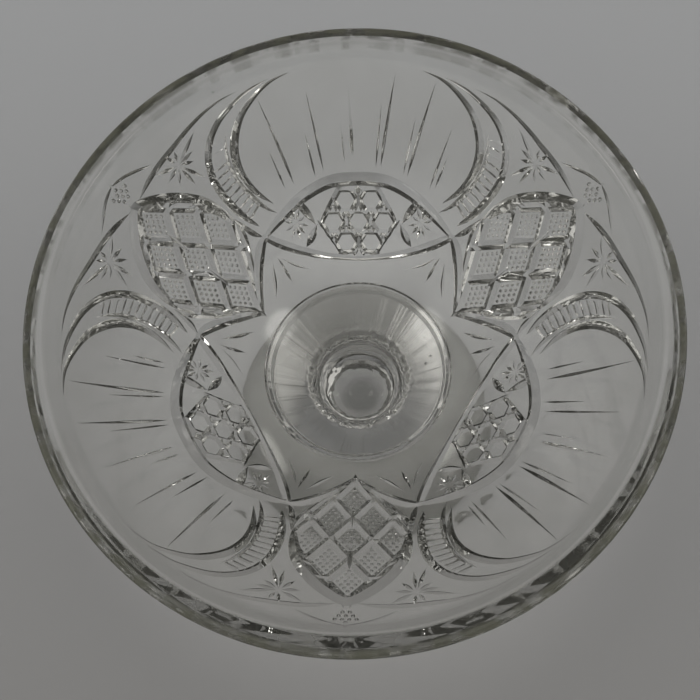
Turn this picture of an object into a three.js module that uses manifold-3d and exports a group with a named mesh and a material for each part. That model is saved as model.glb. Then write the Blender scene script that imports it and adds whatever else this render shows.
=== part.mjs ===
// Footed compote of clear pressed glass: a conical bowl with a pattern of lenses, leaves and
// crescents pressed into its outside, a hot glass wafer, and a hollow pressed foot.
// Millimetres, +Z up. The origin is on the axis at the level that the foot rests on.
// A crescent panel faces +Y, and the three panels repeat every 120 degrees.

import * as THREE from 'three';
import { mergeVertices } from 'three/addons/utils/BufferGeometryUtils.js';
import Module from 'manifold-3d';

const wasm = await Module();
wasm.setup();

// Bowl
const overallHeight = 150;
const rimRadius = 105;
const wallThickness = 5.6;
const wallSlope = THREE.MathUtils.degToRad(47.3);
const bendRadius = 63;
const bendStartRadius = 56;
const collarRadius = 36;

// Rim: a steep outer face that leans out from the wall, a flat top, and an inner face
const rimFaceHeight = 5.4;
const rimFaceLean = 1.4;
const rimTopWidth = 7;
const rimInnerFoot = 95;
const rimEdgeRounding = 1.4;
const rimInnerRounding = 2;

// Collar: a cone, bowed a little outwards, from the bowl's bend in to a short neck
const collarBow = 1;
const collarNeckRadius = 20;
const collarNeckLength = 4;
const collarNeckRounding = 2;

// Joint between the bowl and the foot
const jointRadius = 18.3;
const waferThickness = 3;
const waferBulge = 1.6;

// Foot
const footHeight = 48.5;
const footRadius = 61;
const footEdgeHeight = 2.5;
const footEdgeRounding = 1.2;
const restWidth = 5;
const footTopRise = 2;
const footShoulderRadius = 30.5;
const footNeckRadius = 17.5;
const footNeckHeight = 33.5;
const hollowRadius = 15;
const hollowCrown = 6;
const hollowNeckFlare = 1;
const hollowNeckHeight = 27;
const hollowShoulderRadius = 30.5;
const hollowShoulderHeight = 2.5;
const footCapThickness = 6;

// Flutes round the collar
const fluteCount = 24;
const fluteDepth = 0.1;
const stepsPerFlute = 3;
const turnSteps = fluteCount * stepsPerFlute;

// Steps along the curved parts of the profiles
const roundingSteps = 2;
const bendSteps = 3;
const insideSteps = 5;
const footOutsideSteps = 7;
const footHollowSteps = 6;
const waferEdgeSteps = 4;

// Pattern: panels, the plain band under the rim, and the grooves
const panelCount = 3;
const plainBand = 6.5;
const broadGroove = { width: 4.2, depth: 1.8, steps: 8 };
const mainGroove = { width: 2.8, depth: 1.3, steps: 6 };
const fineGroove = { width: 1.8, depth: 0.9, steps: 4 };
const fieldGroove = { width: 1.8, depth: 0.9, steps: 2 };
const fieldPitch = 8.7;
const fieldReach = 15;
const fieldRows = [[-1.5, 0.5], [-0.5, 1], [0.5, 1], [1.5, 0.5]];
const fieldCentreRadius = 55.8;
const leastGrooveWidth = 0.35;
const cutterRise = 0.8;

// The pattern is drawn in plan for these radii, and is stretched to fit the wall.
const drawnInnerRadius = 36;
const drawnOuterRadius = 96;

const glass = { color: 0xdfe4de, roughness: 0.06, metalness: 0, transparent: true, opacity: 0.5 };
const weldDistance = 1e-4;

function arcPoints(centre, radius, from, to, steps) {
  const points = [];
  for (let i = 0; i <= steps; i++) {
    const angle = from + ((to - from) * i) / steps;
    points.push(new THREE.Vector2(
      centre.x + radius * Math.cos(angle),
      centre.y + radius * Math.sin(angle),
    ));
  }
  return points;
}

// Rounds a corner between two others, starting and ending at a reach from it.
function rounded(before, corner, after, reach) {
  const start = corner.clone().add(before.clone().sub(corner).setLength(reach));
  const end = corner.clone().add(after.clone().sub(corner).setLength(reach));
  return new THREE.QuadraticBezierCurve(start, corner, end).getPoints(roundingSteps);
}

// Line of the bowl's outside: straight wall, and the bend down to the collar
const wallTop = new THREE.Vector2(rimRadius - rimFaceLean, overallHeight - rimFaceHeight);
const bendTop = new THREE.Vector2(
  bendStartRadius,
  wallTop.y - (wallTop.x - bendStartRadius) * Math.tan(wallSlope),
);
const bendCentre = new THREE.Vector2(
  bendTop.x - bendRadius * Math.sin(wallSlope),
  bendTop.y + bendRadius * Math.cos(wallSlope),
);

function outsideHeight(radius) {
  if (radius > bendStartRadius) {
    return wallTop.y - (wallTop.x - radius) * Math.tan(wallSlope);
  }
  const across = radius - bendCentre.x;
  return bendCentre.y - Math.sqrt(bendRadius ** 2 - across ** 2);
}

function outsideSlope(radius) {
  if (radius > bendStartRadius) {
    return wallSlope;
  }
  return Math.asin((radius - bendCentre.x) / bendRadius);
}

// Turns a profile, given as radius and height, round the Z axis.
function turned(profile) {
  const geometry = new THREE.LatheGeometry(profile, turnSteps);
  geometry.rotateX(Math.PI / 2);
  return geometry;
}

// Presses shallow flutes into a turned form, from one ring of its profile to another, fading
// out at both.
function fluted(geometry, ringCount, first, last) {
  const position = geometry.attributes.position;
  for (let i = 0; i < position.count; i++) {
    const share = ((i % ringCount) - first) / (last - first);
    if (share <= 0 || share >= 1) {
      continue;
    }
    const x = position.getX(i);
    const y = position.getY(i);
    const wave = (1 - Math.cos(fluteCount * Math.atan2(y, x))) / 2;
    const pressed = 1 - (fluteDepth * wave * Math.sin(Math.PI * share)) / Math.hypot(x, y);
    position.setX(i, x * pressed);
    position.setY(i, y * pressed);
  }
  return geometry;
}

function asSolid(geometry) {
  const bare = geometry.clone();
  bare.deleteAttribute('normal');
  bare.deleteAttribute('uv');
  const merged = mergeVertices(bare, weldDistance);
  const index = merged.index.array;
  const kept = [];
  for (let i = 0; i < index.length; i += 3) {
    const [a, b, c] = [index[i], index[i + 1], index[i + 2]];
    if (a !== b && b !== c && c !== a) {
      kept.push(a, b, c);
    }
  }
  const mesh = new wasm.Mesh({
    numProp: 3,
    vertProperties: new Float32Array(merged.attributes.position.array),
    triVerts: new Uint32Array(kept),
  });
  return new wasm.Manifold(mesh);
}

function asGeometry(solid) {
  const mesh = solid.getMesh();
  const geometry = new THREE.BufferGeometry();
  geometry.setAttribute('position', new THREE.BufferAttribute(mesh.vertProperties, 3));
  geometry.setIndex(new THREE.BufferAttribute(mesh.triVerts, 1));
  geometry.computeVertexNormals();
  return geometry;
}

// A point of the drawn pattern, in plan, on the bowl's outside, with the surface's normal
function onWall(drawn, turn) {
  const drawnRadius = Math.hypot(drawn.x, drawn.y);
  const patternEdge = rimRadius - plainBand;
  const stretch = (patternEdge - collarRadius) / (drawnOuterRadius - drawnInnerRadius);
  const radius = collarRadius + (drawnRadius - drawnInnerRadius) * stretch;
  const azimuth = Math.atan2(drawn.y, drawn.x) + turn;
  const slope = outsideSlope(radius);
  const outward = new THREE.Vector2(Math.cos(azimuth), Math.sin(azimuth));
  return {
    point: new THREE.Vector3(outward.x * radius, outward.y * radius, outsideHeight(radius)),
    normal: new THREE.Vector3(
      outward.x * Math.sin(slope),
      outward.y * Math.sin(slope),
      -Math.cos(slope),
    ),
  };
}

// One V section of a cutter: its two upper corners above the glass, and its point in the glass.
// The taper is 1 where the groove has its full size, and 0 where it has run out.
function grooveSection(place, along, groove, taper) {
  const { point, normal } = place;
  const side = new THREE.Vector3().crossVectors(along, normal).normalize();
  const depth = THREE.MathUtils.lerp(-cutterRise / 2, groove.depth, taper);
  const widening = 1 + cutterRise / groove.depth;
  const half = (groove.width / 2) * Math.max(taper, leastGrooveWidth) * widening;
  const top = point.clone().addScaledVector(normal, cutterRise);
  return [
    top.clone().addScaledVector(side, half),
    top.clone().addScaledVector(side, -half),
    point.clone().addScaledVector(normal, -depth),
  ];
}

// The faces between a row of triangular sections, with the two ends closed
function sectionFaces(steps) {
  const index = [0, 1, 2];
  for (let i = 0; i < steps; i++) {
    for (let corner = 0; corner < 3; corner++) {
      const a = 3 * i + corner;
      const b = 3 * i + ((corner + 1) % 3);
      index.push(a, a + 3, b, b, a + 3, b + 3);
    }
  }
  const last = 3 * steps;
  index.push(last, last + 2, last + 1);
  return index;
}

// A V-shaped cutter along a drawn line. It dips into the glass between its ends, and with
// open ends it keeps its full depth to the last section.
function grooveCutter(line, groove, openEnds, turn) {
  const curve = new THREE.CatmullRomCurve3(line.map(([x, y]) => new THREE.Vector3(x, y, 0)));
  const { steps } = groove;
  const places = [];
  for (let i = 0; i <= steps; i++) {
    places.push(onWall(curve.getPoint(i / steps), turn));
  }
  const vertices = places.flatMap((place, i) => {
    const before = places[Math.max(i - 1, 0)].point;
    const after = places[Math.min(i + 1, steps)].point;
    const along = after.clone().sub(before).normalize();
    const taper = openEnds ? 1 : Math.sqrt(Math.sin((Math.PI * i) / steps));
    return grooveSection(place, along, groove, taper);
  });
  const geometry = new THREE.BufferGeometry().setFromPoints(vertices);
  geometry.setIndex(sectionFaces(steps));
  return asSolid(geometry);
}

const mirrored = (line) => line.map(([x, y]) => [-x, y]);

// Reflects a line in the leaf's own axis, 60 degrees round from the panel's.
function acrossLeaf(line) {
  const twice = THREE.MathUtils.degToRad(60);
  return line.map(([x, y]) => [
    x * Math.cos(twice) + y * Math.sin(twice),
    x * Math.sin(twice) - y * Math.cos(twice),
  ]);
}

// Drawn lines, in plan, for the half panel right of the panel's axis
const lensOuter = [[-35.2, 47], [-20, 61.5], [0, 66.8], [20, 61.5], [35.2, 47]];
const lensInner = [[-35.2, 46.8], [-18, 44.6], [0, 44], [18, 44.6], [35.2, 46.8]];
const crescentInner = [[24, 92.6], [35, 86], [43, 74.5], [44.3, 66], [39.5, 60.8], [32, 57.6]];
const crescentOuter = [[33, 89.6], [45, 81.3], [52.6, 69], [52, 59], [44.5, 52.2], [38, 49.8]];
const starArc = [[45, 84], [55, 76], [65, 64], [70.5, 56], [75, 47.5]];
const starFoot = [[35.6, 46.8], [38.4, 38], [39.1, 30], [37.7, 21.7]];
const leafFlank = [[37.7, 21.7], [40.8, 35], [42.4, 42], [45.6, 49.4]];
const leafEdge = [[45.6, 49.4], [50, 52.2], [55, 53.5], [60, 53.1], [67, 50.8], [77.1, 44.5]];
const leafBarOuter = [[67.2, 50], [65.2, 37.6], [60, 19]];
const leafBarInner = [[57.6, 52], [54, 35], [49, 20.5]];

// The field of seven hexagons between the lens's grooves: a row of lines in each of three
// directions, drawn in plan and so shortened along the wall's slope. A row is its place, in
// pitches from the middle, and its share of the reach.
function fieldLines() {
  const lines = [];
  for (const turn of [0, Math.PI / 3, -Math.PI / 3]) {
    const along = new THREE.Vector2(Math.cos(turn), Math.sin(turn));
    const away = new THREE.Vector2(-along.y, along.x);
    for (const [row, share] of fieldRows) {
      const middle = away.clone().multiplyScalar(row * fieldPitch);
      lines.push([-1, 1].map((end) => {
        const point = middle.clone().addScaledVector(along, end * share * fieldReach);
        return [point.x, fieldCentreRadius + point.y * Math.cos(wallSlope)];
      }));
    }
  }
  return lines;
}

// Each drawn line with its groove, and whether the groove keeps its depth to its ends
const panelLines = [
  [lensOuter, broadGroove, true],
  [lensInner, mainGroove, true],
  [crescentInner, broadGroove, false],
  [mirrored(crescentInner), broadGroove, false],
  [crescentOuter, broadGroove, false],
  [mirrored(crescentOuter), broadGroove, false],
  [starArc, fineGroove, false],
  [mirrored(starArc), fineGroove, false],
  ...fieldLines().map((line) => [line, fieldGroove, true]),
];
const leafLines = [
  [starFoot, mainGroove, true],
  [leafFlank, mainGroove, true],
  [leafEdge, broadGroove, true],
  [leafBarOuter, fineGroove, true],
  [leafBarInner, fineGroove, true],
];

function panelCutters(turn) {
  const acrossLeaves = leafLines.map(([line, ...rest]) => [acrossLeaf(line), ...rest]);
  return [...panelLines, ...leafLines, ...acrossLeaves].map(
    ([line, groove, openEnds]) => grooveCutter(line, groove, openEnds, turn),
  );
}

// The collar's line, from the joint up to the bowl's bend
function collarLine() {
  const jointHeight = footHeight + waferThickness;
  const joint = new THREE.Vector2(jointRadius, jointHeight);
  const corner = new THREE.Vector2(collarNeckRadius, jointHeight + collarNeckLength);
  const top = new THREE.Vector2(collarRadius, outsideHeight(collarRadius));
  const neck = rounded(joint, corner, top, collarNeckRounding);
  const above = neck.at(-1);
  const up = top.clone().sub(above).normalize();
  const pull = above.clone().add(top).divideScalar(2);
  pull.addScaledVector(new THREE.Vector2(up.y, -up.x), collarBow);
  const cone = new THREE.QuadraticBezierCurve(above, pull, top).getPoints(bendSteps);
  return [joint, ...neck, ...cone.slice(1)];
}

// The rim, from the top of its leaning outer face to where its inner face meets the wall
function rim() {
  const inset = wallThickness / Math.cos(wallSlope);
  const innerFoot = new THREE.Vector2(rimInnerFoot, outsideHeight(rimInnerFoot) + inset);
  const innerEdge = new THREE.Vector2(rimRadius - rimTopWidth, overallHeight);
  const outerEdge = new THREE.Vector2(rimRadius, overallHeight);
  const downWall = innerFoot.clone().sub(
    new THREE.Vector2(Math.cos(wallSlope), Math.sin(wallSlope)),
  );
  return [
    ...rounded(wallTop.clone().setX(rimRadius), outerEdge, innerEdge, rimEdgeRounding),
    ...rounded(outerEdge, innerEdge, innerFoot, rimEdgeRounding),
    ...rounded(innerEdge, innerFoot, downWall, rimInnerRounding),
  ];
}

// The bowl's smooth inside, from its bend down to the flat of its floor
function inside() {
  const innerBend = bendRadius - wallThickness;
  const down = -Math.PI / 2;
  const floorAngle = down + Math.asin(Math.max(0, -bendCentre.x / innerBend));
  return [
    ...arcPoints(bendCentre, innerBend, down + wallSlope, floorAngle, insideSteps),
    new THREE.Vector2(0, bendCentre.y + innerBend * Math.sin(floorAngle)),
  ];
}

function bowlGeometry() {
  const collar = collarLine();
  const down = -Math.PI / 2;
  const bendFoot = down + outsideSlope(collarRadius);
  const profile = [
    new THREE.Vector2(0, collar[0].y),
    ...collar,
    ...arcPoints(bendCentre, bendRadius, bendFoot, down + wallSlope, bendSteps).slice(1),
    wallTop,
    ...rim(),
    ...inside(),
  ];
  const body = asSolid(fluted(turned(profile), profile.length, 1, collar.length));
  const cutters = [];
  for (let panel = 0; panel < panelCount; panel++) {
    cutters.push(...panelCutters((2 * Math.PI * panel) / panelCount));
  }
  return asGeometry(body.subtract(wasm.Manifold.union(cutters)));
}

function waferGeometry() {
  const middle = footHeight + waferThickness / 2;
  const edge = arcPoints(new THREE.Vector2(), 1, -Math.PI / 2, Math.PI / 2, waferEdgeSteps);
  const profile = [
    new THREE.Vector2(0, footHeight),
    ...edge.map((p) => new THREE.Vector2(
      jointRadius + waferBulge * p.x,
      middle + (waferThickness / 2) * p.y,
    )),
    new THREE.Vector2(0, footHeight + waferThickness),
  ];
  return turned(profile);
}

// The foot's outside, from its rounded edge in and up to the joint
function footOutside() {
  return new THREE.CubicBezierCurve(
    new THREE.Vector2(footRadius - footEdgeRounding, footEdgeHeight + footTopRise),
    new THREE.Vector2(footShoulderRadius, footEdgeHeight + footTopRise * 2),
    new THREE.Vector2(footNeckRadius, footNeckHeight),
    new THREE.Vector2(footNeckRadius, footHeight),
  ).getPoints(footOutsideSteps);
}

// The foot's hollow, from its crown on the axis out to the ring that the foot rests on
function footHollow() {
  const hollowTop = footHeight - footCapThickness;
  const crownRadius = (hollowRadius ** 2 + hollowCrown ** 2) / (2 * hollowCrown);
  const crownCentre = new THREE.Vector2(0, hollowTop - crownRadius);
  const crownEdge = Math.acos(hollowRadius / crownRadius);
  const sides = new THREE.CubicBezierCurve(
    new THREE.Vector2(hollowRadius, hollowTop - hollowCrown),
    new THREE.Vector2(hollowRadius + hollowNeckFlare, hollowNeckHeight),
    new THREE.Vector2(hollowShoulderRadius, hollowShoulderHeight),
    new THREE.Vector2(footRadius - footEdgeRounding - restWidth, 0),
  ).getPoints(footHollowSteps);
  return [
    ...arcPoints(crownCentre, crownRadius, Math.PI / 2, crownEdge, roundingSteps),
    ...sides.slice(1),
  ];
}

function footGeometry() {
  const edgeCentre = new THREE.Vector2(footRadius - footEdgeRounding, footEdgeRounding);
  return turned([
    ...footHollow(),
    ...arcPoints(edgeCentre, footEdgeRounding, -Math.PI / 2, 0, roundingSteps),
    new THREE.Vector2(footRadius, footEdgeHeight),
    ...footOutside(),
    new THREE.Vector2(0, footHeight),
  ]);
}

const compote = new THREE.Group();
for (const [name, geometry] of [
  ['bowl', bowlGeometry()],
  ['joining_wafer', waferGeometry()],
  ['pedestal_foot', footGeometry()],
]) {
  const piece = new THREE.Mesh(geometry, new THREE.MeshStandardMaterial(glass));
  piece.name = name;
  compote.add(piece);
}

export default compote;
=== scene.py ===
# Footed compote of clear pressed glass: the looks, built round the CAD frame
import math

import bpy
from mathutils import Matrix, Vector
from mathutils.geometry import delaunay_2d_cdt, intersect_line_line_2d


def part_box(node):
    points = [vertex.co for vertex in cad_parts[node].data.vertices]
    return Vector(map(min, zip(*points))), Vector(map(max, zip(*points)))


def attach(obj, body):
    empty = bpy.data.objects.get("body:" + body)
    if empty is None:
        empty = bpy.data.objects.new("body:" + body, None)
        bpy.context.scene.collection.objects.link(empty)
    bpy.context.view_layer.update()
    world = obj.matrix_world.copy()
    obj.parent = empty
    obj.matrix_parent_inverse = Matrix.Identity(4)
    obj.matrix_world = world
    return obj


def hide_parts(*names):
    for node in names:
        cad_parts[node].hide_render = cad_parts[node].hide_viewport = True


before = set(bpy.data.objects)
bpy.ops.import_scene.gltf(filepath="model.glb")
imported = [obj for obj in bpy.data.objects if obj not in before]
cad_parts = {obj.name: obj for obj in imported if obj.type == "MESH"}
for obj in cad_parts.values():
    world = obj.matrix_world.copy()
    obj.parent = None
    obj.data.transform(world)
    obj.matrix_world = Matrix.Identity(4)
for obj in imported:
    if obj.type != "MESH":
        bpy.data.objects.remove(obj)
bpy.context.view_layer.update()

# Shapes are worked out in millimetres and made in metres
MM = 0.001
bowl_low, bowl_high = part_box("bowl")
foot_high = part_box("pedestal_foot")[1]
wafer_low, wafer_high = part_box("joining_wafer")

# Bowl: its form as in the frame, and the flutes and pinches of its collar
RIM_RADIUS = bowl_high[0] / MM
RIM_HEIGHT = bowl_high[2] / MM
JOINT_TOP = bowl_low[2] / MM
WALL = 5.6
SLOPE = math.radians(47.3)
BEND_RADIUS = 63.0
BEND_START = 56.0
COLLAR_RADIUS = 36.0
RIM_FACE_HEIGHT = 5.4
RIM_FACE_LEAN = 1.4
RIM_TOP_WIDTH = 7.0
RIM_INNER_FOOT = 95.0
RIM_EDGE_ROUNDING = 1.4
RIM_INNER_ROUNDING = 2.0
JOINT_RADIUS = 18.3
FUSED_RADIUS = 17.5
COLLAR_BOW = 1.0
NECK_RADIUS = 20.0
NECK_LENGTH = 4.0
NECK_ROUNDING = 2.0
NECK_PINCH = 1.8
PINCH_LENGTH = 7.0
PANELS = 3
COLLAR_FLUTES = 24
COLLAR_FLUTE_DEPTH = 0.05
STEPS_PER_FLUTE = 12
STEPS_ROUND = COLLAR_FLUTES * STEPS_PER_FLUTE
HALF_PANEL = math.pi / PANELS

# Rings near the axis, the reach of a weld, and the degrees past which an edge stays sharp
NEAR_AXIS = 0.01
MIDDLE_RING = 10.0
WELD_WITHIN = 0.004
BOWL_CREASE = 20
PLAIN_CREASE = 30

# Pattern, drawn in plan for the half panel between the middle of a crescent panel (+Y) and the
# middle of the leaf to its right. It is shifted outwards, in full once clear of the collar.
PATTERN_SHIFT = 2.3
SHIFT_EASE = 12.0
STEEP = 1.0
CIRCLE_RADIUS = 36.7
CIRCLE_HALF = 0.4
CIRCLE_STEEP = 1.7
DIAMOND_BAR = 1.9
BAR_STEEP = 0.78
BAR_OVERRUN = 0.15
HOBNAIL_HALF = 0.6
HOBNAIL_LENGTH = 1.6
HOBNAIL_PLACES = (0.26, 0.42, 0.58, 0.74)
HOBNAIL_MARGIN = 0.86
KITE_SPACING = 2.0
FLUTE_STEEP = 0.14
SHARP_LINE_STEEP = 1.9

# Mesh of the pattern, along its lines and on the land between them
LINE_STEP = 1.0
LAND_SPACING = 1.7
ROW_SHARE = 0.87
RAIL_MARGIN = 0.4
SIDE_MARGIN = 1e-5
ON_SIDE = 0.01
MERGED_WITHIN = 1e-4


def lerp(a, b, share):
    return a + (b - a) * share


def heading(degrees):
    """A unit step at an angle from +X."""
    return Vector((math.cos(math.radians(degrees)), math.sin(math.radians(degrees))))


def spoke(radius, turn, half):
    """A station at a radius and at an angle in radians from the panel's middle."""
    return radius * math.sin(turn), radius * math.cos(turn), half


class BowlWall:
    """The bowl's outside: a straight wall, and below it a bend down to the collar."""

    def __init__(self):
        self.top_radius = RIM_RADIUS - RIM_FACE_LEAN
        self.top_height = RIM_HEIGHT - RIM_FACE_HEIGHT
        drop = (self.top_radius - BEND_START) * math.tan(SLOPE)
        self.centre_radius = BEND_START - BEND_RADIUS * math.sin(SLOPE)
        self.centre_height = self.top_height - drop + BEND_RADIUS * math.cos(SLOPE)
        self.bend_along = BEND_START / math.cos(SLOPE)

    def slope(self, radius):
        if radius >= BEND_START:
            return SLOPE
        return math.asin((radius - self.centre_radius) / BEND_RADIUS)

    def height(self, radius):
        if radius >= BEND_START:
            return self.top_height - (self.top_radius - radius) * math.tan(SLOPE)
        return self.centre_height - BEND_RADIUS * math.cos(self.slope(radius))

    def along(self, radius):
        """Distance from the straight wall's apex, measured on the surface."""
        if radius >= BEND_START:
            return radius / math.cos(SLOPE)
        return self.bend_along - BEND_RADIUS * (SLOPE - self.slope(radius))

    def radius(self, along):
        if along >= self.bend_along:
            return along * math.cos(SLOPE)
        slope = SLOPE - (self.bend_along - along) / BEND_RADIUS
        return self.centre_radius + BEND_RADIUS * math.sin(slope)

    def unroll(self, x, y):
        """A point drawn in plan, on the wall laid flat with the panel's middle along +Y."""
        radius = math.hypot(x, y)
        radius += PATTERN_SHIFT * (1 - math.exp((COLLAR_RADIUS - radius) / SHIFT_EASE))
        along = self.along(radius)
        turn = math.atan2(x, y) * math.cos(SLOPE)
        return Vector((along * math.sin(turn), along * math.cos(turn)))

    def roll(self, point, depth):
        """The flat wall's point in space, pressed inwards by a depth."""
        radius = self.radius(point.length)
        azimuth = math.pi / 2 - math.atan2(point.x, point.y) / math.cos(SLOPE)
        slope = self.slope(radius)
        out = radius - depth * math.sin(slope)
        up = self.height(radius) + depth * math.cos(slope)
        return Vector((out * math.cos(azimuth), out * math.sin(azimuth), up))


wall = BowlWall()
LEAF_TURN = HALF_PANEL * math.cos(SLOPE)
leaf_axis = Vector((math.sin(LEAF_TURN), math.cos(LEAF_TURN)))


def across_panel(point):
    return Vector((-point.x, point.y))


def across_leaf(point):
    return 2 * point.dot(leaf_axis) * leaf_axis - point


def in_half_panel(point, margin):
    side = point.x * leaf_axis.y - point.y * leaf_axis.x
    return point.x > -margin and side < margin


def smooth_line(stations, step=LINE_STEP):
    """A rounded line through stations of place and half width, at even steps."""
    line = [stations[0]]
    last = len(stations) - 1
    for i in range(last):
        before = stations[max(i - 1, 0)]
        start, end = stations[i], stations[i + 1]
        after = stations[min(i + 2, last)]
        steps = max(1, round((end - start).to_2d().length / step))
        for k in range(1, steps + 1):
            t = k / steps
            ease = (end - before) * 0.5, (after - start) * 0.5
            point = (
                start * (2 * t**3 - 3 * t**2 + 1)
                + ease[0] * (t**3 - 2 * t**2 + t)
                + end * (3 * t**2 - 2 * t**3)
                + ease[1] * (t**3 - t**2)
            )
            line.append(point)
    return line


class Groove:
    """A groove along a line on the flat wall. Each point holds x, y and half the width.

    Its section is a "v", a rounded "hollow", or a "cusp", whose sides curve in to a sharp bottom.
    """

    def __init__(self, line, steep=STEEP, section="v", inside=None):
        self.line = line
        self.steep = steep
        self.section = section
        self.inside = inside
        widest = max(p.z for p in line)
        self.low = Vector((min(p.x for p in line) - widest, min(p.y for p in line) - widest))
        self.high = Vector((max(p.x for p in line) + widest, max(p.y for p in line) + widest))

    def moved(self, flip):
        line = []
        for p in self.line:
            q = flip(p.to_2d())
            line.append(Vector((q.x, q.y, p.z)))
        inside = self.inside and [flip(p) for p in self.inside]
        return Groove(line, self.steep, self.section, inside)

    def depth(self, point, spread=0.0):
        if not (self.low.x - spread <= point.x <= self.high.x + spread):
            return 0.0
        if not (self.low.y - spread <= point.y <= self.high.y + spread):
            return 0.0
        if self.inside and not within(point, self.inside):
            return 0.0
        deepest = 0.0
        for start, end in zip(self.line, self.line[1:]):
            way_x, way_y = end.x - start.x, end.y - start.y
            length = way_x * way_x + way_y * way_y
            share = ((point.x - start.x) * way_x + (point.y - start.y) * way_y) / length
            share = min(max(share, 0.0), 1.0)
            off = math.hypot(
                point.x - start.x - way_x * share, point.y - start.y - way_y * share
            )
            half = start.z + (end.z - start.z) * share + spread
            if off >= half or half <= 0:
                continue
            if self.section == "v":
                here = (half - off) * self.steep
            elif self.section == "hollow":
                here = self.steep * half * (1 - (off / half) ** 2)
            else:
                here = self.steep * half * (1 - off / half) ** 2
            deepest = max(deepest, here)
        return deepest

    def rails(self):
        """The lines that the mesh has to follow: the bottom and the two edges."""
        left, right = [], []
        last = len(self.line) - 1
        for i, p in enumerate(self.line):
            way = (self.line[min(i + 1, last)] - self.line[max(i - 1, 0)]).to_2d().normalized()
            side = Vector((-way.y, way.x)) * p.z
            left.append(p.to_2d() + side)
            right.append(p.to_2d() - side)
        return [[p.to_2d() for p in self.line], left, right]


def within(point, outline):
    """True inside a closed outline."""
    crossings = False
    for a, b in zip(outline, outline[1:] + outline[:1]):
        if (a.y > point.y) != (b.y > point.y):
            if point.x < (b.x - a.x) * (point.y - a.y) / (b.y - a.y) + a.x:
                crossings = not crossings
    return crossings


def drawn(*stations, **kind):
    """A groove through stations drawn in plan: x, y, and half the width on the surface."""
    line = []
    for x, y, half in stations:
        place = wall.unroll(x, y)
        line.append(Vector((place.x, place.y, half)))
    return Groove(smooth_line(line), **kind)


def main_grooves():
    """The grooves that bound the lens, the leaf, the crescent and the beads, and the arcs outside."""
    lens_outer = drawn(
        (-10, 66.1, 2.6), (0, 67.0, 2.7), (10, 66.1, 2.6), (20, 61.6, 2.5),
        (29, 54.2, 2.1), (35.6, 46.9, 0.9), steep=1.25,
    )
    lens_inner = drawn(
        (-12, 44.9, 1.3), (0, 44.6, 1.0), (12, 44.9, 1.4), (22, 45.5, 1.8),
        (30, 46.3, 1.9), (35.6, 47.2, 1.3), steep=0.85,
    )
    centre_arc = drawn(
        (35.6, 47.2, 1.3), (37.4, 43, 2.1), (38.5, 36, 2.1), (38.5, 29, 1.7), (37.7, 21.8, 1.0),
        steep=0.75,
    )
    leaf_edge = drawn(
        (46.3, 49.0, 0.8), (50.3, 50.9, 1.8), (55.4, 51.9, 2.5), (60.5, 51.5, 2.6),
        (65.5, 50.2, 2.6), (70.3, 48.1, 2.5), (74, 46.0, 2.3), (75.7, 44.7, 2.3),
        (76.73, 43.12, 2.3), steep=1.2,
    )
    leaf_flank = drawn(
        (45.6, 49.4, 0.2), (43.3, 46, 1.4), (41.8, 41.5, 1.3), (40.6, 36.5, 0.9), (39.4, 30, 0.1),
    )
    leaf_corner = drawn((36.5, 47, 0.2), (39.5, 47.3, 1.1), (42.5, 48.4, 0.9), (45.6, 49.9, 0.2))
    crescent = drawn(
        (24, 92.9, 0.05), (30, 90.1, 0.5), (35, 86.5, 0.8), (40, 81.2, 1.1), (42.6, 77, 1.4),
        (44.0, 72.5, 1.6), (44.2, 68.5, 1.7), (43.0, 64.6, 1.6), (40.6, 61.6, 1.4),
        (37, 59.3, 1.0), (32, 57.6, 0.1), steep=1.25,
    )
    bead_inner = drawn(
        (47, 72.5, 0.1), (46.9, 69, 0.6), (45.8, 65, 0.8), (43.6, 61.8, 0.9), (40.5, 59, 1.0),
        (37.5, 57.1, 1.0), (34, 55.7, 0.6), (31, 55.2, 0.1), steep=1.25,
    )
    bead_outer = drawn(
        (31.5, 90.3, 0.05), (36, 87.8, 0.45), (40, 85.2, 0.6), (45, 80.9, 0.9),
        (48.8, 76.7, 1.1), (51.5, 72.2, 1.2), (52.9, 68, 1.3), (53.1, 64, 1.35),
        (52.0, 60, 1.4), (49.5, 56.5, 1.5), (46, 53.6, 1.5), (42, 51.4, 1.2), (38.4, 50.3, 0.5),
        steep=1.25,
    )
    star_arc = drawn(
        (43.5, 84.9, 0.05), (48, 82.2, 0.3), (52, 79.1, 0.45), (56, 75.4, 0.6), (60, 71, 0.75),
        (64, 65.9, 0.9), (67.7, 61, 1.0), (70.7, 56.5, 1.0), (73, 52.3, 0.8), (75.2, 47.4, 0.1),
        steep=1.3,
    )
    kite = drawn(
        (71.3, 58.5, 0.05), (75, 55.9, 0.5), (79, 52.8, 0.6), (81.6, 50.3, 0.55),
        (83.1, 48.5, 0.25), steep=1.2,
    )
    return [
        lens_outer, lens_inner, centre_arc, leaf_edge, leaf_flank, leaf_corner, crescent,
        bead_inner, bead_outer, star_arc, kite,
    ]


def collar_circle():
    """The fine circle where the collar starts, drawn a little past the half panel's sides."""
    circle = [spoke(CIRCLE_RADIUS, math.radians(5 * step), CIRCLE_HALF) for step in range(-1, 16)]
    return [drawn(*circle, steep=CIRCLE_STEEP)]


def hobnail(place, way):
    """A short pressed mark, pointed at both ends."""
    line = []
    for share, width in ((-0.5, 0.06), (-0.15, 1.0), (0.15, 1.0), (0.5, 0.06)):
        p = place + way * share * HOBNAIL_LENGTH
        line.append(Vector((p.x, p.y, width * HOBNAIL_HALF)))
    return Groove(line, steep=1.0)


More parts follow.
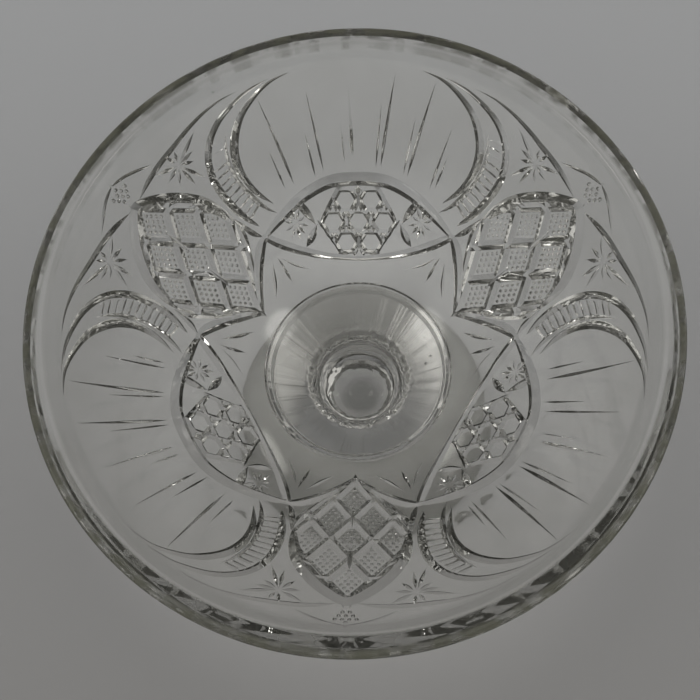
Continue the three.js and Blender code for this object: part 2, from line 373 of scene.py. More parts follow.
def kite_hobnails():
    """The kite's small diamond of fine hobnails, which shows as rows of small pits."""
    corners = [wall.unroll(*p) for p in ((77.8, 46.2), (79.2, 50.4), (82.6, 48.2))]
    outline = corners + [across_leaf(p) for p in corners[1::-1]]
    middle = wall.unroll(80.2, 46.3)
    along, across = Vector((0.97, 0.24)), Vector((0.15, 0.99))
    grooves = []
    for row in range(-4, 5):
        for column in range(-4, 5):
            place = middle + (along * row + across * column) * KITE_SPACING
            if within(place, outline):
                grooves.append(hobnail(place, across))
    return grooves


def chord(a, b, half, **kind):
    """A straight groove between two points of the flat wall."""
    steps = max(1, round((b - a).length / (3 * LINE_STEP)))
    line = []
    for i in range(steps + 1):
        p = a.lerp(b, i / steps)
        line.append(Vector((p.x, p.y, half)))
    return Groove(line, **kind)


def leaf_lattice():
    """The leaf's diamonds, which broad bars part. Each holds four by four pressed hobnails."""
    edge = [
        (46.3, 49.4), (50.3, 51.1), (55.4, 52.1), (60.5, 51.7), (65.5, 50.5), (70.3, 48.4),
        (74, 46.3), (77.1, 44.5),
    ]
    half_outline = [wall.unroll(x, y) for x, y in [(37.7, 21.8), (40.8, 35), (44, 46.6)] + edge]
    outline = half_outline + [across_leaf(p) for p in half_outline[-2:0:-1]]
    middle = sum(outline, Vector((0.0, 0.0))) / len(outline)
    hobnails_inside = [middle.lerp(p, HOBNAIL_MARGIN) for p in outline]
    first = wall.unroll(58.2, 51), wall.unroll(49, 20.6)
    second = wall.unroll(68, 50), wall.unroll(59.8, 20)

    def bar(share):
        """The ends of a bar, or of a row of hobnails a share of the way to the next bar."""
        a, b = (start.lerp(end, share) for start, end in zip(first, second))
        return a - (b - a) * BAR_OVERRUN, b + (b - a) * BAR_OVERRUN

    diamonds = range(-2, 3)
    rows = [diamond + share for diamond in diamonds for share in HOBNAIL_PLACES]
    grooves = [chord(*bar(k), DIAMOND_BAR, inside=outline, steep=BAR_STEEP) for k in diamonds]
    for row in rows:
        start, end = bar(row)
        for crossing in rows:
            crossing_row = [across_leaf(p) for p in bar(crossing)]
            place = intersect_line_line_2d(start, end, *crossing_row)
            if place and in_half_panel(place, ON_SIDE) and within(place, hobnails_inside):
                grooves.append(hobnail(place, (end - start).normalized()))
    return grooves


def hexagon_field():
    """Seven hexagons and the small triangles between them, cut by lines in three directions."""
    centre = wall.unroll(0, 55.6)
    apart = 8.7
    half_side = 15.1
    corner_reach = 1.03 * half_side
    corners = [centre + corner_reach * heading(60 * i) for i in range(6)]
    grooves = []
    for turn in (0, 60, 120):
        along = heading(turn)
        away = Vector((-along.y, along.x))
        for k in (-1.5, -0.5, 0.5, 1.5):
            middle = centre + away * k * apart
            reach = half_side * (1.0 if abs(k) < 1 else 0.5)
            half = 1.3 if abs(k) < 1 else 1.15
            grooves.append(chord(middle - along * reach, middle + along * reach, half,
                                 inside=corners, steep=1.2))
    return grooves


def star(x, y, rays, half=0.65):
    """Short tapering rays round a point. Each ray is its direction in degrees and its reach."""
    bare_middle = 1.2
    grooves = []
    for turn, reach in rays:
        way = heading(turn)
        stations = []
        for share, width in ((0.0, 0.1), (0.45, 1.0), (1.0, 0.05)):
            distance = lerp(bare_middle, reach, share)
            stations.append((x + way.x * distance, y + way.y * distance, half * width))
        grooves.append(drawn(*stations, steep=1.2))
    return grooves


def small_strokes():
    """The stars of the lens tips and of the leaves, the fans beside the leaves, and the daggers."""
    tip_rays = [(36 * i, 4.6 if i % 2 else 4.0) for i in range(10)]
    strokes = star(24.0, 53.2, tip_rays)
    strokes += star(63.0, 60.9, [
        (118, 12), (132, 7), (152, 5.5), (187, 8), (217, 6.2), (268, 5.2), (300, 6.5),
        (325, 8.5), (20, 3.6), (75, 3.6),
    ], 0.7)
    fan = [
        ((19.7, 40.0, 0.05), (25, 40.6, 0.4), (29.5, 41.8, 0.05)),
        ((26.6, 35.2, 0.05), (28.2, 37.6, 0.6), (30.2, 40.2, 0.05)),
        ((28.3, 38.4, 0.05), (29.8, 40.0, 0.4), (31.2, 41.6, 0.05)),
        ((32.6, 28.6, 0.05), (32.7, 33.5, 0.75), (33.2, 39.6, 0.05)),
    ]
    daggers = [
        ((16.3, 53.6, 0.2), (17.7, 51, 1.5), (19.0, 48.8, 1.3), (20.4, 46.9, 0.05)),
        ((16.9, 54.2, 0.2), (19.2, 56.3, 1.4), (21.5, 58.2, 1.5), (24.2, 60.3, 0.3)),
    ]
    for stations in fan + daggers:
        strokes.append(drawn(*stations, steep=1.2))
    return strokes


def bead_lines():
    """The lines that part the beads, from the groove outside them to the one inside."""
    outer = smooth_line([Vector((*wall.unroll(x, y), 0)) for x, y in [
        (40.0, 52.4), (44.2, 54.2), (47.6, 57.2), (49.8, 60.8), (50.9, 65), (50.8, 69.5),
    ]], 0.1)
    inner = smooth_line([Vector((*wall.unroll(x, y), 0)) for x, y in [
        (37.6, 56.0), (41, 58), (44.2, 60.8), (46.4, 64.2), (47.6, 67.6), (48.0, 71.5),
    ]], 0.1)
    count = 12
    lines = []
    for i in range(count):
        share = i / (count - 1)
        a = outer[round(share * (len(outer) - 1))].to_2d()
        b = inner[round(share * (len(inner) - 1))].to_2d()
        half = lerp(1.15, 0.6, share)
        lines.append(chord(a, b, half, section="cusp", steep=lerp(0.7, 0.5, share)))
    return lines


# On each side of a panel's middle: the angles of the flutes from it in degrees, and the sharp
# lines, with the angles of the inner and outer end, the radii of both, and half the width
FLUTES_RIGHT = (2.0, 11.0, 19.9, 28.0)
LINES_RIGHT = [
    (5.5, 5.9, 70.6, 86, 0.35), (7.0, 8.4, 71, 93, 0.6), (14.2, 14.6, 69.7, 84, 0.35),
    (15.5, 17.4, 69.4, 93, 0.6), (23.3, 24.0, 68, 84, 0.4), (24.9, 25.4, 68.5, 78, 0.35),
]
FLUTES_LEFT = (2.0, 7.9, 17.0, 28.0)
LINES_LEFT = [
    (1.4, 1.9, 70.6, 92, 0.6), (3.8, 4.2, 70.8, 84, 0.35), (10.6, 11.6, 70.2, 90, 0.4),
    (13.4, 13.8, 69, 80, 0.35), (20.5, 22.5, 68.6, 91, 0.55), (23.6, 24.2, 68.5, 78, 0.35),
]


def panel_flutes(turns, lines):
    """Shallow hollows that fade out towards the rim, and sharp lines that taper at both ends."""
    widths = ((70.6, 2.4), (72.5, 3.8), (77, 4.3), (84, 3.6), (93, 0.4))
    tapers = ((0.0, 0.1), (0.25, 1.0), (0.6, 0.7), (1.0, 0.1))
    flutes = []
    for degrees in turns:
        stations = [spoke(radius, math.radians(degrees), half) for radius, half in widths]
        flutes.append(drawn(*stations, section="hollow", steep=FLUTE_STEEP))
    for inner_turn, outer_turn, start, end, half in lines:
        stations = []
        for share, width in tapers:
            turn = math.radians(lerp(inner_turn, outer_turn, share))
            stations.append(spoke(lerp(start, end, share), turn, half * width))
        flutes.append(drawn(*stations, steep=SHARP_LINE_STEEP))
    return flutes


def whole_pattern(turns, lines):
    """All the grooves of a half panel, and the mirrored ones that reach across its sides."""
    pattern = main_grooves() + leaf_lattice() + hexagon_field() + small_strokes()
    pattern += bead_lines() + panel_flutes(turns, lines) + collar_circle() + kite_hobnails()
    near = 4.0
    doubled = list(pattern)
    for groove in pattern:
        points = [p.to_2d() for p in groove.line]
        if any(p.x < near for p in points):
            doubled.append(groove.moved(across_panel))
        if any(not in_half_panel(p, -near) and p.x > near for p in points):
            doubled.append(groove.moved(across_leaf))
    return doubled


def kept_runs(rail, inside):
    """The stretches of a rail that lie in the half panel and inside the groove's outline."""
    runs = [[]]
    for p in rail:
        if in_half_panel(p, RAIL_MARGIN) and (not inside or within(p, inside)):
            runs[-1].append(p)
        else:
            runs.append([])
    return [run for run in runs if len(run) > 1]


def half_panel_mesh(pattern):
    """Vertices and faces of the pressed wall between a panel's middle and a leaf's middle."""
    points, edges = [], []

    def add_line(line):
        first = len(points)
        points.extend(line)
        edges.extend((i, i + 1) for i in range(first, len(points) - 1))

    steps = STEPS_ROUND // (2 * PANELS)
    inner = wall.along(COLLAR_RADIUS)
    outer = wall.along(wall.top_radius)
    turns = [LEAF_TURN * i / steps for i in range(steps + 1)]
    add_line([Vector((math.sin(t), math.cos(t))) * inner for t in turns])
    add_line([Vector((math.sin(t), math.cos(t))) * outer for t in turns])
    add_line([Vector((0.0, inner)), Vector((0.0, outer))])
    add_line([leaf_axis * inner, leaf_axis * outer])

    for groove in pattern:
        for rail in groove.rails():
            for run in kept_runs(rail, groove.inside):
                add_line(run)

    rows = int((outer - inner) / (LAND_SPACING * ROW_SHARE))
    for row in range(1, rows):
        along = lerp(inner, outer, row / rows)
        count = max(2, round(along * LEAF_TURN / LAND_SPACING))
        for k in range(count + 1):
            turn = LEAF_TURN * min(max((k + 0.5 * (row % 2)) / count, 0.0), 1.0)
            p = Vector((math.sin(turn), math.cos(turn))) * along
            if on_groove_edge(p, pattern):
                continue
            points.append(p)

    found = delaunay_2d_cdt(points, edges, [], 0, MERGED_WITHIN)
    flat, faces = found[0], found[2]
    innermost = inner * math.cos(LEAF_TURN / steps)
    kept = []
    for face in faces:
        middle = sum((flat[i] for i in face), Vector((0.0, 0.0))) / len(face)
        if in_half_panel(middle, SIDE_MARGIN) and innermost < middle.length:
            kept.append(face)
    return flat, kept


def on_groove_edge(point, pattern):
    """True on a sharp groove or just beside it, where the rails already shape the mesh."""
    beside = 0.55
    for groove in pattern:
        if groove.section == "v" and groove.depth(point, beside) > 0:
            return True
    return False


def pressed_depth(point, pattern):
    return max((groove.depth(point) for groove in pattern), default=0.0)


def relief_object():
    """The pressed outside of the bowl: a right and a left half for each panel."""
    vertices, faces = [], []
    halves = (1, FLUTES_RIGHT, LINES_RIGHT), (-1, FLUTES_LEFT, LINES_LEFT)
    for mirror, turns, lines in halves:
        pattern = whole_pattern(turns, lines)
        flat, half_faces = half_panel_mesh(pattern)
        used = sorted({i for face in half_faces for i in face})
        place = {old: new for new, old in enumerate(used)}
        half = [wall.roll(flat[i], pressed_depth(flat[i], pattern)) * MM for i in used]
        for panel in range(PANELS):
            turn = Matrix.Rotation(2 * HALF_PANEL * panel, 3, "Z")
            first = len(vertices)
            vertices += [turn @ Vector((v.x * mirror, v.y, v.z)) for v in half]
            for face in half_faces:
                order = face if mirror > 0 else face[::-1]
                faces.append([first + place[i] for i in order])
    mesh = bpy.data.meshes.new("bowl_glass")
    mesh.from_pydata(vertices, [], faces)
    piece = bpy.data.objects.new("bowl_glass", mesh)
    bpy.context.collection.objects.link(piece)
    return piece


def arc(centre, radius, start, end, steps):
    """Points round part of a circle in the radius and height plane, by angles in radians."""
    points = []
    for i in range(steps + 1):
        angle = lerp(start, end, i / steps)
        points.append((centre[0] + radius * math.cos(angle), centre[1] + radius * math.sin(angle)))
    return points


def bezier(corners, steps):
    """A curve of radius and height that starts at the first corner and ends at the last."""
    points = []
    for i in range(steps + 1):
        row = [Vector(c) for c in corners]
        while len(row) > 1:
            row = [a.lerp(b, i / steps) for a, b in zip(row, row[1:])]
        points.append(tuple(row[0]))
    return points


def drawn_out(name, profile):
    """A ring of glass at the profile's first point, drawn out along the rest of it."""
    bpy.ops.object.select_all(action="DESELECT")
    radius, height = profile[0]
    bpy.ops.mesh.primitive_circle_add(
        vertices=STEPS_ROUND, radius=max(radius, NEAR_AXIS) * MM, location=(0, 0, height * MM)
    )
    shell = bpy.context.active_object
    shell.name = shell.data.name = name
    bpy.ops.object.transform_apply(location=True, rotation=False, scale=False)
    bpy.ops.object.mode_set(mode="EDIT")
    bpy.ops.mesh.select_all(action="SELECT")
    for (radius, height), (next_radius, next_height) in zip(profile, profile[1:]):
        rise = (next_height - height) * MM
        bpy.ops.mesh.extrude_region_move(TRANSFORM_OT_translate={"value": (0, 0, rise)})
        if next_radius > 0:
            grow = next_radius / radius
            bpy.ops.transform.resize(value=(grow, grow, 1), center_override=(0, 0, 0))
        else:
            bpy.ops.mesh.merge(type="CENTER")
    bpy.ops.object.mode_set(mode="OBJECT")
    return shell


def fused(pieces, name):
    """One closed piece of the pieces' surfaces, welded where they meet, its faces outwards."""
    bpy.ops.object.select_all(action="DESELECT")
    for piece in pieces:
        piece.select_set(True)
    bpy.context.view_layer.objects.active = pieces[0]
    if len(pieces) > 1:
        bpy.ops.object.join()
    whole = pieces[0]
    whole.name = whole.data.name = name
    bpy.ops.object.mode_set(mode="EDIT")
    bpy.ops.mesh.select_all(action="SELECT")
    bpy.ops.mesh.remove_doubles(threshold=WELD_WITHIN * MM)
    bpy.ops.mesh.normals_make_consistent(inside=False)
    bpy.ops.object.mode_set(mode="OBJECT")
    return whole


def smoothed(piece, degrees):
    bpy.ops.object.select_all(action="DESELECT")
    piece.select_set(True)
    bpy.context.view_layer.objects.active = piece
    bpy.ops.object.shade_smooth_by_angle(angle=math.radians(degrees))


def reshaped(piece, move):
    """Moves each vertex by a function of its radius, azimuth and height in millimetres."""
    for vertex in piece.data.vertices:
        x, y, z = vertex.co / MM
        radius, azimuth = math.hypot(x, y), math.atan2(y, x)
        radius, azimuth, z = move(radius, azimuth, z)
        vertex.co = Vector((radius * math.cos(azimuth), radius * math.sin(azimuth), z)) * MM


# Bowl: the pressed outside, then rim, smooth inside, fluted collar and the face of the joint
bend_centre = (wall.centre_radius, wall.centre_height)
inner_bend = BEND_RADIUS - WALL
floor_angle = -math.pi / 2 + math.asin(max(0.0, -wall.centre_radius / inner_bend))
collar_top = (COLLAR_RADIUS, wall.height(COLLAR_RADIUS))


def rounded(before, corner, after, reach, steps=8):
    """A corner's rounding, which starts and ends at a reach from it."""
    before, corner, after = Vector(before), Vector(corner), Vector(after)
    start = corner + (before - corner).normalized() * reach
    end = corner + (after - corner).normalized() * reach
    return bezier([tuple(start), tuple(corner), tuple(end)], steps)


def collar_line():
    """A cone, bowed a little outwards, down to a rounded corner and a short neck."""
    joint = (JOINT_RADIUS, JOINT_TOP)
    corner = (NECK_RADIUS, JOINT_TOP + NECK_LENGTH)
    rounding = rounded(collar_top, corner, joint, NECK_ROUNDING)
    top, above = Vector(collar_top), Vector(rounding[0])
    up = (top - above).normalized()
    bowed = (top + above) / 2 + Vector((up.y, -up.x)) * COLLAR_BOW
    cone = bezier([tuple(top), tuple(bowed), tuple(above)], 20)
    return cone + rounding[1:] + [joint]


def rim_and_inside():
    """A steep outer face, a flat top and an inner face, then the wall's smooth inside."""
    inset = WALL / math.cos(SLOPE)
    wall_top = (wall.top_radius, wall.top_height)
    face_top = (RIM_RADIUS, wall.top_height)
    outer_edge = (RIM_RADIUS, RIM_HEIGHT)
    inner_edge = (RIM_RADIUS - RIM_TOP_WIDTH, RIM_HEIGHT)
    inner_foot = (RIM_INNER_FOOT, wall.height(RIM_INNER_FOOT) + inset)
    bend = arc(bend_centre, inner_bend, SLOPE - math.pi / 2, floor_angle, 28)
    rim = [wall_top]
    rim += rounded(face_top, outer_edge, inner_edge, RIM_EDGE_ROUNDING)
    rim += rounded(outer_edge, inner_edge, inner_foot, RIM_EDGE_ROUNDING)
    rim += rounded(inner_edge, inner_foot, bend[0], RIM_INNER_ROUNDING)
    straight = [tuple(Vector(rim[-1]).lerp(Vector(bend[0]), i / 12)) for i in range(1, 12)]
    flat = [(bend[-1][0] * share, bend[-1][1]) for share in (0.66, 0.33, 0.0)]
    return drawn_out("rim_and_inside", rim + straight + bend + flat)


# Teeth of the hot glass at the joint: how many go round, where they start, and their share
TEETH = ((7, 0.4, 0.6), (17, 1.9, 0.7), (31, 0.7, 1.0), (43, 2.6, 0.9))


def ragged(azimuth):
    """How far the hot glass crept outwards at an azimuth, from 0 to 1, in sharp teeth."""
    crept = sum(size * (1 - abs(math.sin(azimuth * count / 2 + at))) for count, at, size in TEETH)
    return crept / sum(size for count, at, size in TEETH)


def fluted_collar():
    """The collar with its shallow flutes, its neck pinched in between the teeth."""
    collar = drawn_out("fluted_collar", collar_line())

    def flute(radius, azimuth, z):
        share = (z - JOINT_TOP) / (collar_top[1] - JOINT_TOP)
        wave = (1 - math.cos(COLLAR_FLUTES * azimuth)) / 2
        fade = math.sin(math.pi * min(max(share, 0.0), 1.0))
        low = min(max((z - JOINT_TOP) / PINCH_LENGTH, 0.0), 1.0)
        pinched = NECK_PINCH * (1 - ragged(azimuth + 1.0)) * math.sin(math.pi * low)
        return radius - COLLAR_FLUTE_DEPTH * wave * fade - pinched, azimuth, z

    reshaped(collar, flute)
    return collar


def joint_face(name, height):
    return drawn_out(name, [(JOINT_RADIUS, height), (JOINT_RADIUS * 0.5, height), (0.0, height)])


bowl = fused(
    [relief_object(), rim_and_inside(), fluted_collar(), joint_face("bowl_joint", JOINT_TOP)],
    "bowl_glass",
)
smoothed(bowl, BOWL_CREASE)

# Wafer: a thick disc whose edge is ragged where the hot glass was pinched
WAFER_BULGE = 1.6
LEAST_CREEP = 0.1
LEVEL_WITHIN = 0.01
WAFER_BOTTOM = wafer_low[2] / MM
WAFER_TOP = wafer_high[2] / MM


def wafer_piece():
    middle = (WAFER_BOTTOM + WAFER_TOP) / 2
    half = (WAFER_TOP - WAFER_BOTTOM) / 2
    edge = []
    for radius, height in arc((0.0, 0.0), 1.0, math.pi / 2, -math.pi / 2, 10):
        edge.append((JOINT_RADIUS + WAFER_BULGE * radius, middle + half * height))
    profile = [(NEAR_AXIS, WAFER_TOP), (MIDDLE_RING, WAFER_TOP)] + edge
    profile += [(MIDDLE_RING, WAFER_BOTTOM), (NEAR_AXIS, WAFER_BOTTOM)]
    piece = drawn_out("wafer_glass", profile)

    def pinch(radius, azimuth, z):
        if radius <= JOINT_RADIUS + LEVEL_WITHIN:
            return radius, azimuth, z
        creep = (radius - JOINT_RADIUS) * lerp(LEAST_CREEP, 1.0, ragged(azimuth))
        return JOINT_RADIUS + creep, azimuth, z

    reshaped(piece, pinch)
    return piece


wafer = fused([wafer_piece()], "wafer_glass")
smoothed(wafer, PLAIN_CREASE)

# Foot: hollow, flared, resting on a narrow ring
FOOT_RADIUS = foot_high[0] / MM
FOOT_HEIGHT = foot_high[2] / MM
FOOT_EDGE = 2.5
FOOT_ROUNDING = 1.2
REST_WIDTH = 5.0
FOOT_RISE = 2.0
FOOT_SHOULDER = 30.5
FOOT_NECK_RADIUS = 17.5
FOOT_NECK_HEIGHT = 33.5
HOLLOW_RADIUS = 15.0
HOLLOW_CROWN = 6.0
HOLLOW_NECK = (16.0, 27.0)
HOLLOW_SHOULDER = (30.5, 2.5)
CAP = 6.0


def foot_piece():
    hollow_top = FOOT_HEIGHT - CAP
    crown = (HOLLOW_RADIUS**2 + HOLLOW_CROWN**2) / (2 * HOLLOW_CROWN)
    crown_edge = math.acos(HOLLOW_RADIUS / crown)
    dome = arc((0.0, hollow_top - crown), crown, math.pi / 2, crown_edge, 10)
    rest_inner = FOOT_RADIUS - FOOT_ROUNDING - REST_WIDTH
    hollow = bezier([
        (HOLLOW_RADIUS, hollow_top - HOLLOW_CROWN), HOLLOW_NECK, HOLLOW_SHOULDER,
        (rest_inner, 0.0),
    ], 26)
    edge_centre = (FOOT_RADIUS - FOOT_ROUNDING, FOOT_ROUNDING)
    edge = arc(edge_centre, FOOT_ROUNDING, -math.pi / 2, 0.0, 6)
    outside = bezier([
        (FOOT_RADIUS - FOOT_ROUNDING, FOOT_EDGE + FOOT_RISE),
        (FOOT_SHOULDER, FOOT_EDGE + FOOT_RISE * 2),
        (FOOT_NECK_RADIUS, FOOT_NECK_HEIGHT), (FOOT_NECK_RADIUS, FOOT_HEIGHT),
    ], 30)
    profile = [(NEAR_AXIS, hollow_top)] + dome[1:] + hollow[1:] + edge
    profile += [(FOOT_RADIUS, FOOT_EDGE)] + outside
    profile += [(MIDDLE_RING, FOOT_HEIGHT), (NEAR_AXIS, FOOT_HEIGHT)]
    return drawn_out("foot_glass", profile)


foot = fused([foot_piece()], "foot_glass")
smoothed(foot, PLAIN_CREASE)


class Wire:
    """A socket of a node tree. Arithmetic on it adds Math nodes."""

    def __init__(self, nodes, socket):
        self.nodes = nodes
        self.socket = socket

    def maths(self, operation, first, second=0.0):
        return self.nodes.add("Math", {"operation": operation}, {0: first, 1: second})

    def __add__(self, other):
        return self.maths("ADD", self, other)

    def __radd__(self, other):
        return self.maths("ADD", other, self)

    def __sub__(self, other):
        return self.maths("SUBTRACT", self, other)

    def __rsub__(self, other):
        return self.maths("SUBTRACT", other, self)

    def __mul__(self, other):
        return self.maths("MULTIPLY", self, other)

    def __rmul__(self, other):
        return self.maths("MULTIPLY", other, self)

    def ramp(self, low, high, start=0.0, end=1.0):
        """Goes smoothly from start to end as this goes from low to high."""
        return self.nodes.add("MapRange", {"interpolation_type": "SMOOTHSTEP"}, {
            "Value": self, "From Min": low, "From Max": high, "To Min": start, "To Max": end,
        })


class Nodes:
    """The emptied node tree of a material or a world."""

    def __init__(self, owner):
        owner.use_nodes = True
        self.tree = owner.node_tree
        self.tree.nodes.clear()

    def add(self, kind, settings=None, sockets=None, output=0):
        """Adds a node, sets it, feeds its sockets and returns one of its outputs."""
        node = self.tree.nodes.new("ShaderNode" + kind)
        for name, value in (settings or {}).items():
            setattr(node, name, value)
        for name, value in (sockets or {}).items():
            if isinstance(value, Wire):
                self.tree.links.new(value.socket, node.inputs[name])
            else:
                node.inputs[name].default_value = value
        return Wire(self, node.outputs[output])

    def colours(self, share, first, second):
        """Mixes two colours through a Mix node's sockets for colours."""
        return self.add("Mix", {"data_type": "RGBA"}, {"Factor": share, 6: first, 7: second}, 2)

    def finish(self, shader, kind="OutputMaterial"):
        """Feeds the shader to the tree's output."""
        node = self.tree.nodes.new("ShaderNode" + kind)
        self.tree.links.new(shader.socket, node.inputs["Surface"])


# Glass. Depths of its relief in metres, and the scales of the noise that shapes it
GLASS_TINT = (0.995, 0.995, 0.98, 1)
GLASS_IOR = 1.51
BLUR = 0.03
RIPPLE = 0.00002
RIPPLE_SCALE = 55
RIM_MOTTLE = 0.00025
NECK_WAVES = 0.0006
MOTTLE_SCALE = 140
STREAKS = 0.0011
STREAK_SCALE = 6
SEED_RADIUS = 0.0006
SEED_DEPTH = 0.0003
SEEDS = ((-0.0515, 0.0860), (-0.0147, 0.0928), (0.0280, 0.0056))

# Zones of the glass, by the heights and radii in metres over which each starts or ends
SCUFFED_TO = 0.0012
SCUFF_SCALE = 900
SCUFF_BLUR = 0.3
RIM_FROM = (0.138, 0.141)
RIM_OUTSIDE = (0.1018, 0.1032)
RIM_BLUR = 0.06
COLLAR_EDGE = (0.035, 0.038)
COLLAR_FROM = (0.055, 0.060)
COLLAR_TO = (0.075, 0.077)
COLLAR_BLUR = 0.07
NECK_EDGE = (0.019, 0.022)
NECK_TO = (0.072, 0.074)

# Films that dull the glass, and painted shade on the rim and on the wafer: the share of each and its
# colour
FILM = 0.05
FILM_COLOUR = (0.36, 0.355, 0.31, 1)
# Painted shade on the rim: a dark diffuse share in mottled patches stands in for the dark band the
# rim shows
RIM_SHADE_SHARES = (0.62, 0.06)
RIM_PATCHES = (0.42, 0.6)
RIM_SHADE_COLOUR = (0.12, 0.12, 0.093, 1)
# Painted shade on the wafer: a strong near-black diffuse share that darkens the joint's ring
WAFER_SHADE_SHARE = 0.35
WAFER_SHADE_COLOUR = (0.05, 0.05, 0.04, 1)


def clear_glass(name, film_and_shade_share=FILM, film_and_shade_colour=FILM_COLOUR):
    """Pressed glass: ripples, a mottled rim with painted shade in patches, a streaked collar, seeds
    and a scuffed rest.
    """
    material = bpy.data.materials.new(name)
    nodes = Nodes(material)
    place = nodes.add("TexCoord", output="Object")
    height = nodes.add("SeparateXYZ", {}, {"Vector": place}, "Z")
    flat = nodes.add("VectorMath", {"operation": "MULTIPLY"}, {0: place, 1: (1, 1, 0)})
    radius = nodes.add("VectorMath", {"operation": "LENGTH"}, {0: flat}, "Value")
    around = nodes.add("VectorMath", {"operation": "NORMALIZE"}, {0: flat})

    def noise(where, scale, detail):
        return nodes.add("TexNoise", {}, {"Vector": where, "Scale": scale, "Detail": detail}, "Fac")

    ripple = noise(place, RIPPLE_SCALE, 2)
    mottle = noise(place, MOTTLE_SCALE, 2)
    streak = noise(around, STREAK_SCALE, 6)
    scuffs = height.ramp(0.0, SCUFFED_TO, 1.0, 0.0) * noise(place, SCUFF_SCALE, 3).ramp(0.5, 0.8)
    rim = height.ramp(*RIM_FROM) * radius.ramp(*RIM_OUTSIDE)
    collar = radius.ramp(*COLLAR_EDGE, 1.0, 0.0) * height.ramp(*COLLAR_TO, 1.0, 0.0)
    collar = collar * height.ramp(*COLLAR_FROM)
    neck = radius.ramp(*NECK_EDGE, 1.0, 0.0) * height.ramp(*NECK_TO, 1.0, 0.0)
    relief = ripple * RIPPLE + rim * mottle * RIM_MOTTLE + collar * streak * STREAKS
    relief = relief + neck * mottle * NECK_WAVES
    for x, y in SEEDS:
        off = nodes.add("VectorMath", {"operation": "DISTANCE"}, {0: flat, 1: (x, y, 0)}, "Value")
        relief = off.ramp(0.0, SEED_RADIUS, SEED_DEPTH, 0.0) + relief
    bump = nodes.add("Bump", {}, {"Strength": 1.0, "Distance": 1.0, "Height": relief})
    roughness = scuffs * SCUFF_BLUR + collar * COLLAR_BLUR + rim * RIM_BLUR + BLUR
    glass = nodes.add("BsdfPrincipled", {}, {
        "Base Color": GLASS_TINT, "IOR": GLASS_IOR, "Transmission Weight": 1.0,
        "Roughness": roughness, "Normal": bump,
    })
    # A diffuse share that dulls the glass; on the wafer it is dark and strong, and is painted shade
    film_and_shade = nodes.add("BsdfDiffuse", {}, {"Color": film_and_shade_colour, "Normal": bump})
    share = ripple.ramp(0.35, 0.7, 0.6 * film_and_shade_share, 1.4 * film_and_shade_share)
    with_film_and_shade = nodes.add("MixShader", {}, {0: share, 1: glass, 2: film_and_shade})
    # Painted shade: the rim's dark band is a dark diffuse share, laid on in mottled patches
    rim_painted_shade = nodes.add("BsdfDiffuse", {}, {"Color": RIM_SHADE_COLOUR, "Normal": bump})
    rim_shade_share = rim * mottle.ramp(*RIM_PATCHES, *RIM_SHADE_SHARES)
    nodes.finish(nodes.add("MixShader", {}, {0: rim_shade_share, 1: with_film_and_shade, 2: rim_painted_shade}))
    return material


def unseen_joint():
    """The face where two hot pieces flowed together can't be seen."""
    material = bpy.data.materials.new("fused_joint")
    nodes = Nodes(material)
    nodes.finish(nodes.add("BsdfPrincipled", {}, {"Alpha": 0.0}))
    return material


# Heights of each piece's fused faces, and the painted shade of the one piece that has its own: a
# strong dark diffuse share
JOINTS = {bowl: [JOINT_TOP], wafer: [WAFER_TOP, WAFER_BOTTOM], foot: [FOOT_HEIGHT]}
PAINTED_SHADES = {wafer: (WAFER_SHADE_SHARE, WAFER_SHADE_COLOUR)}
FACING = 0.99
joint_finish = unseen_joint()
for piece, levels in JOINTS.items():
    piece.data.materials.append(clear_glass(piece.name, *PAINTED_SHADES.get(piece, ())))
    piece.data.materials.append(joint_finish)
    for face in piece.data.polygons:
        centre = face.center / MM
        level = any(abs(centre.z - height) < LEVEL_WITHIN for height in levels)
        flat = level and abs(face.normal.z) > FACING
        face.material_index = 1 if flat and centre.to_2d().length < FUSED_RADIUS else 0

for piece, node, slot in (
    (bowl, "bowl", "bowl_glass"), (wafer, "joining_wafer", "wafer_glass"),
    (foot, "pedestal_foot", "foot_glass"),
):
    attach(piece, "root")
    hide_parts(node)

# Floor: a pale sheet with painted light: darker at the near side (-Y) and lighter away, a painted
# pool of light under the bowl and the foot, and painted shade under the neck. Through the glass it is
# seen to end in a dimmer room.
FLOOR_SIZE = 6
FLOOR_DROP = 0.15
# Painted shade: the floor's colour goes from darker at the near side to lighter away, as the light
# falls from behind
FLOOR_NEAR = (0.217, 0.213, 0.208, 1)
FLOOR_AWAY = (0.313, 0.316, 0.320, 1)
FLOOR_SPAN = (-0.2, 0.3)
# Painted light: a pool of light under the bowl and a ring of it under the foot, stronger away from
# the near side
UNDER_BOWL = (0.08, 0.148)
LIT_UNDER_NEAR = 0.37
LIT_UNDER_AWAY = 0.47
LIT_SPAN = (-0.08, 0.08)
UNDER_FOOT = (0.0595, 0.0625)
LIT_UNDER_FOOT = 0.3
FOOT_LIT_FROM = (-0.05, 0.01)
# Painted shade: the floor is darker under the neck, down to this share of its tone
UNDER_NECK = (0.009, 0.034)
NECK_PAINTED_SHADE = 0.5
FAR_COLOUR = (0.05, 0.05, 0.05, 1)
SHEET_EDGE = (0.24, 0.42)
REFLECTED_DIM = 0.5


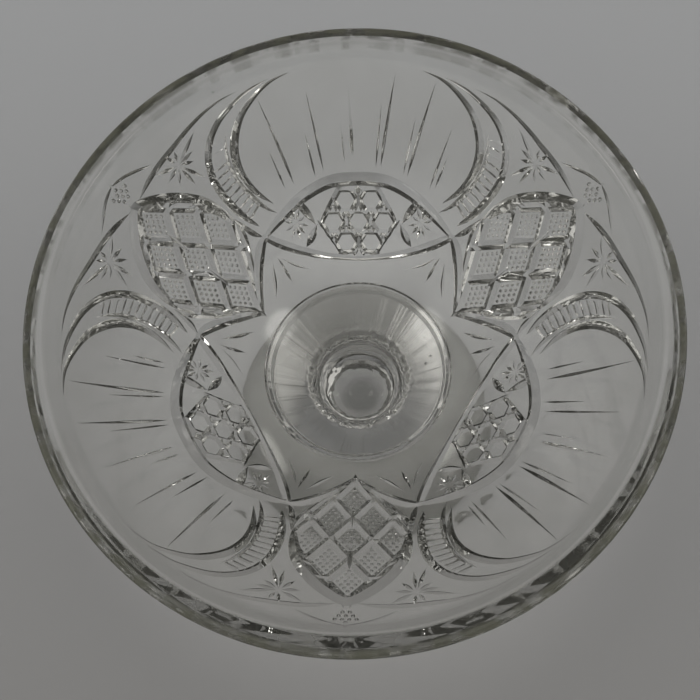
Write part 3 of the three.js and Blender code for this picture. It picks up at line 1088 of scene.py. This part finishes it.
def pale_floor():
    bpy.ops.object.select_all(action="DESELECT")
    bpy.ops.mesh.primitive_plane_add(size=FLOOR_SIZE, location=(0, 0, -FLOOR_DROP * MM))
    floor = bpy.context.active_object
    floor.name = "floor"
    material = bpy.data.materials.new("pale_floor")
    nodes = Nodes(material)
    place = nodes.add("TexCoord", output="Object")
    away = nodes.add("VectorMath", {"operation": "LENGTH"}, {0: place}, "Value")
    seen = nodes.add("LightPath", output="Is Camera Ray")
    reflected = nodes.add("LightPath", output="Glossy Depth")
    far = away.ramp(*SHEET_EDGE) * (1 - seen)
    far = far.maths("MAXIMUM", far, reflected.ramp(0, 1, 0.0, REFLECTED_DIM))
    across = nodes.add("SeparateXYZ", {}, {"Vector": place}, "Y")
    pale = nodes.colours(across.ramp(*FLOOR_SPAN), FLOOR_NEAR, FLOOR_AWAY)
    # Painted light under the foot and the bowl
    foot_light = away.ramp(*UNDER_FOOT, LIT_UNDER_FOOT, 0.0) * across.ramp(*FOOT_LIT_FROM)
    bowl_light = across.ramp(*LIT_SPAN, LIT_UNDER_NEAR, LIT_UNDER_AWAY)
    under = 1 + bowl_light * away.ramp(*UNDER_BOWL, 1.0, 0.0)
    # Painted shade under the neck
    under = under * (1 + foot_light) * away.ramp(*UNDER_NECK, NECK_PAINTED_SHADE, 1.0)
    pale = nodes.add("VectorMath", {"operation": "SCALE"}, {0: pale, "Scale": under})
    nodes.finish(nodes.add("BsdfPrincipled", {}, {
        "Base Color": nodes.colours(far, pale, FAR_COLOUR), "Roughness": 0.8,
        "Specular IOR Level": 0.1,
    }))
    floor.data.materials.append(material)


# Room: what the glass shows is dim, with soft windows, each with its direction, half width in
# degrees and brightness. Even light falls on what isn't glass.
ROOM_LEVEL = 0.18
ROOM_COLOUR = (1.0, 0.985, 0.93, 1)
WINDOWS = [
    ((1.0, 0.1, 0.15), 60, 0.22), ((-1.0, 0.1, 0.15), 60, 0.4), ((0.0, -1.0, 0.15), 60, 0.4),
    ((0.6, -0.08, 0.8), 12, 2.4), ((-0.6, -0.08, 0.8), 12, 2.4),
]
WINDOW_CORE = 0.55


def room():
    world = bpy.data.worlds.new("room")
    bpy.context.scene.world = world
    nodes = Nodes(world)
    way = nodes.add("TexCoord", output="Generated")
    level = ROOM_LEVEL
    for direction, width, brightness in WINDOWS:
        towards = nodes.add("VectorMath", {"operation": "DOT_PRODUCT"}, {
            0: way, 1: Vector(direction).normalized(),
        }, "Value")
        edge = math.cos(math.radians(width))
        inside = math.cos(math.radians(width * WINDOW_CORE))
        level = towards.ramp(edge, inside, 0.0, brightness) + level
    shown = nodes.add("Background", {}, {"Color": ROOM_COLOUR, "Strength": level})
    even = nodes.add("Background", {}, {"Color": (1, 1, 1, 1), "Strength": 1.0})
    diffuse = nodes.add("LightPath", output="Diffuse Depth")
    nodes.finish(nodes.add("MixShader", {}, {0: diffuse, 1: shown, 2: even}), "OutputWorld")


pale_floor()
room()

# Camera, fitted to the photograph, with its place in millimetres and its turn in degrees
CAMERA_PLACE = (14.25, -98.54, 428.03)
CAMERA_TURN = (17.103, 2.538, 1.077)
LENS = 47.96
camera_data = bpy.data.cameras.new("camera")
camera_data.lens = LENS
camera = bpy.data.objects.new("camera", camera_data)
bpy.context.collection.objects.link(camera)
camera.location = Vector(CAMERA_PLACE) * MM
camera.rotation_euler = [math.radians(a) for a in CAMERA_TURN]
camera_data.clip_start = 0.01
bpy.context.scene.camera = camera

bpy.context.scene.view_settings.view_transform = "Standard"

bpy.context.view_layer.update()
